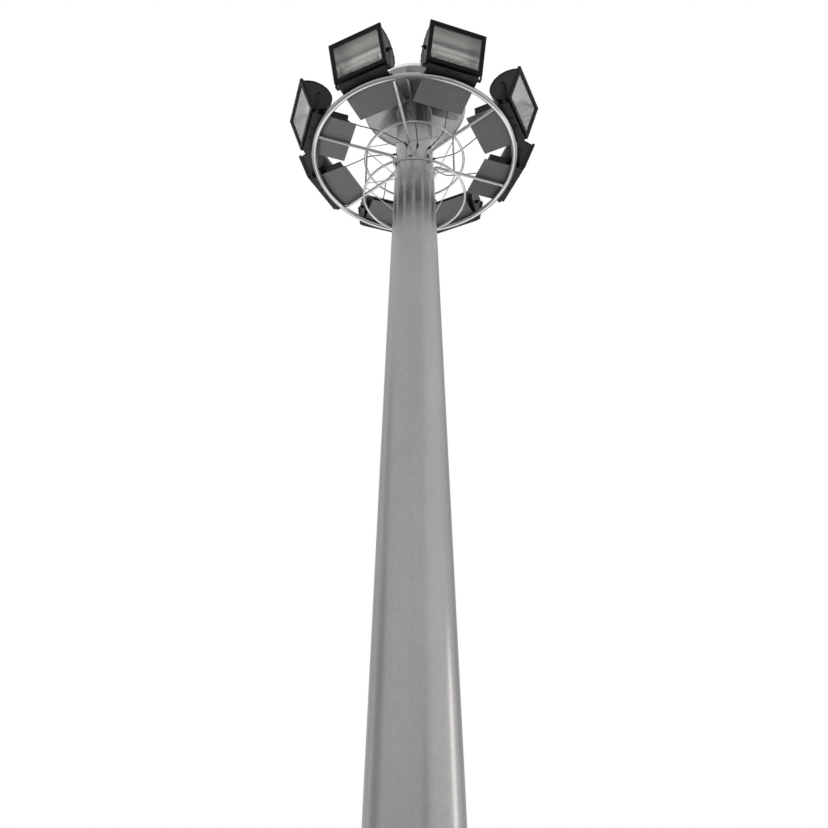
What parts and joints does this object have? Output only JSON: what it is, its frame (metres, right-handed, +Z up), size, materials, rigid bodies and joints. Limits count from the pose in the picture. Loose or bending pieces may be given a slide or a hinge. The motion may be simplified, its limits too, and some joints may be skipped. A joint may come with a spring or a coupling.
{
  "type": "high mast floodlight tower",
  "caption": "Tapered tubular lighting mast on a bolted base flange, with a ring of tilting floodlights, cranked arms, an inner cage of rings and a domed head canopy.",
  "frame": {"origin": "centre of the base flange's underside, at ground level", "axes": "+Z up the mast, -Y towards the side the picture shows, +X to that view's right, the access door on +Y"},
  "size_m": [3.0284, 3.0284, 9.755],
  "materials": {
    "galvanised_steel": "hot-dip galvanised, semi-gloss",
    "canopy_aluminium": "spun, satin",
    "dark_painted_steel": "dark grey, satin",
    "floodlight_aluminium": "die-cast, black powder coat, semi-gloss",
    "reflector_aluminium": "anodised, bright",
    "floodlight_glass": "toughened, clear",
    "cable_rubber": "matt black sheath",
    "gland_plastic": "black nylon"
  },
  "bodies": {
    "tower": {"access_door": "galvanised_steel", "arms": "galvanised_steel", "base_flange": "galvanised_steel", "base_gussets": "galvanised_steel", "cable_glands": "gland_plastic", "canopy": "canopy_aluminium", "canopy_braces": "galvanised_steel", "door_frame": "galvanised_steel", "gear_boxes": "dark_painted_steel", "head_plate": "galvanised_steel", "inner_ring_lower": "galvanised_steel", "inner_ring_upper": "galvanised_steel", "light_carriers": "dark_painted_steel", "main_ring": "galvanised_steel", "mast_shaft": "galvanised_steel", "ring_posts": "galvanised_steel", "stirrups": "dark_painted_steel", "supply_cable_1": "cable_rubber", "supply_cable_2": "cable_rubber", "supply_cable_3": "cable_rubber", "supply_cable_4": "cable_rubber", "supply_cable_5": "cable_rubber", "supply_cable_6": "cable_rubber", "supply_cable_7": "cable_rubber", "supply_cable_8": "cable_rubber", "tie_rods": "galvanised_steel"},
    "floodlight_1": {"floodlight_1_frame": "floodlight_aluminium", "floodlight_1_glass": "floodlight_glass", "floodlight_1_housing": "floodlight_aluminium", "floodlight_1_reflector": "reflector_aluminium"},
    "floodlight_2": {"floodlight_2_frame": "floodlight_aluminium", "floodlight_2_glass": "floodlight_glass", "floodlight_2_housing": "floodlight_aluminium", "floodlight_2_reflector": "reflector_aluminium"},
    "floodlight_3": {"floodlight_3_frame": "floodlight_aluminium", "floodlight_3_glass": "floodlight_glass", "floodlight_3_housing": "floodlight_aluminium", "floodlight_3_reflector": "reflector_aluminium"},
    "floodlight_4": {"floodlight_4_frame": "floodlight_aluminium", "floodlight_4_glass": "floodlight_glass", "floodlight_4_housing": "floodlight_aluminium", "floodlight_4_reflector": "reflector_aluminium"},
    "floodlight_5": {"floodlight_5_frame": "floodlight_aluminium", "floodlight_5_glass": "floodlight_glass", "floodlight_5_housing": "floodlight_aluminium", "floodlight_5_reflector": "reflector_aluminium"},
    "floodlight_6": {"floodlight_6_frame": "floodlight_aluminium", "floodlight_6_glass": "floodlight_glass", "floodlight_6_housing": "floodlight_aluminium", "floodlight_6_reflector": "reflector_aluminium"},
    "floodlight_7": {"floodlight_7_frame": "floodlight_aluminium", "floodlight_7_glass": "floodlight_glass", "floodlight_7_housing": "floodlight_aluminium", "floodlight_7_reflector": "reflector_aluminium"},
    "floodlight_8": {"floodlight_8_frame": "floodlight_aluminium", "floodlight_8_glass": "floodlight_glass", "floodlight_8_housing": "floodlight_aluminium", "floodlight_8_reflector": "reflector_aluminium"}
  },
  "joints": [
    {"name": "floodlight_1_tilt", "type": "hinge", "parent": "tower", "child": "floodlight_1", "pos_m": [-0.55939, -1.13683, 8.966], "axis": [-0.8973, 0.4415, 0], "range_deg": [-15, 21]},
    {"name": "floodlight_2_tilt", "type": "hinge", "parent": "tower", "child": "floodlight_2", "pos_m": [0.40831, -1.19941, 8.966], "axis": [-0.9466, -0.3223, 0], "range_deg": [-15, 21]},
    {"name": "floodlight_3_tilt", "type": "hinge", "parent": "tower", "child": "floodlight_3", "pos_m": [1.13683, -0.55939, 8.966], "axis": [-0.4415, -0.8973, 0], "range_deg": [-15, 21]},
    {"name": "floodlight_4_tilt", "type": "hinge", "parent": "tower", "child": "floodlight_4", "pos_m": [1.19941, 0.40831, 8.966], "axis": [0.3223, -0.9466, 0], "range_deg": [-15, 21]},
    {"name": "floodlight_5_tilt", "type": "hinge", "parent": "tower", "child": "floodlight_5", "pos_m": [0.55939, 1.13683, 8.966], "axis": [0.8973, -0.4415, 0], "range_deg": [-15, 21]},
    {"name": "floodlight_6_tilt", "type": "hinge", "parent": "tower", "child": "floodlight_6", "pos_m": [-0.40831, 1.19941, 8.966], "axis": [0.9466, 0.3223, 0], "range_deg": [-15, 21]},
    {"name": "floodlight_7_tilt", "type": "hinge", "parent": "tower", "child": "floodlight_7", "pos_m": [-1.13683, 0.55939, 8.966], "axis": [0.4415, 0.8973, 0], "range_deg": [-15, 21]},
    {"name": "floodlight_8_tilt", "type": "hinge", "parent": "tower", "child": "floodlight_8", "pos_m": [-1.19941, -0.40831, 8.966], "axis": [-0.3223, 0.9466, 0], "range_deg": [-15, 21]}
  ]
}
